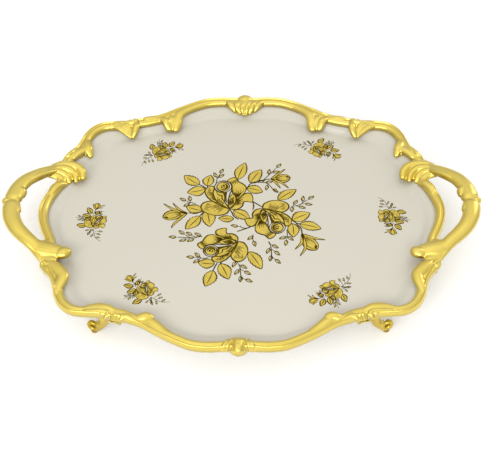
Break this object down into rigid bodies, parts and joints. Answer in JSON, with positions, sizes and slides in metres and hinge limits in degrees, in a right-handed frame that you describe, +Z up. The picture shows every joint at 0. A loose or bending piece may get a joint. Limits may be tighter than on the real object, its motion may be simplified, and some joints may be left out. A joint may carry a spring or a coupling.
{
  "type": "footed serving tray",
  "caption": "Footed serving tray: a flower-decorated glazed dish held in a scrolled gilt metal frame with raised loop handles.",
  "frame": {"origin": "centre of the tray's plan at the table plane, under the foot pads", "axes": "+X along the tray towards the right handle, +Y to the back, +Z up"},
  "size_m": [0.5006, 0.3704, 0.0586],
  "materials": {
    "glaze": "gloss, warm white glaze",
    "gilt": "satin gilt",
    "foot_gilt": "polished gilt",
    "steel": "brushed",
    "rubber": "matt",
    "gold_print": "fired gold print on the glaze",
    "ink_print": "fired dark brown print on the glaze"
  },
  "bodies": {
    "root": {"dish": "glaze", "gasket": "rubber", "rail_back": "gilt", "rail_front": "gilt", "corner_back_left": "gilt", "corner_back_right": "gilt", "corner_front_left": "gilt", "corner_front_right": "gilt", "handle_left": "gilt", "handle_right": "gilt", "foot_back_left": "foot_gilt", "foot_back_right": "foot_gilt", "foot_front_left": "foot_gilt", "foot_front_right": "foot_gilt", "joint_plate_back_left": "steel", "joint_plate_back_right": "steel", "joint_plate_front_left": "steel", "joint_plate_front_right": "steel", "clip_back": "steel", "clip_front": "steel", "foot_screws": "steel", "plate_screws": "steel", "clip_screws": "steel", "foot_pads": "rubber"}
  },
  "joints": []
}
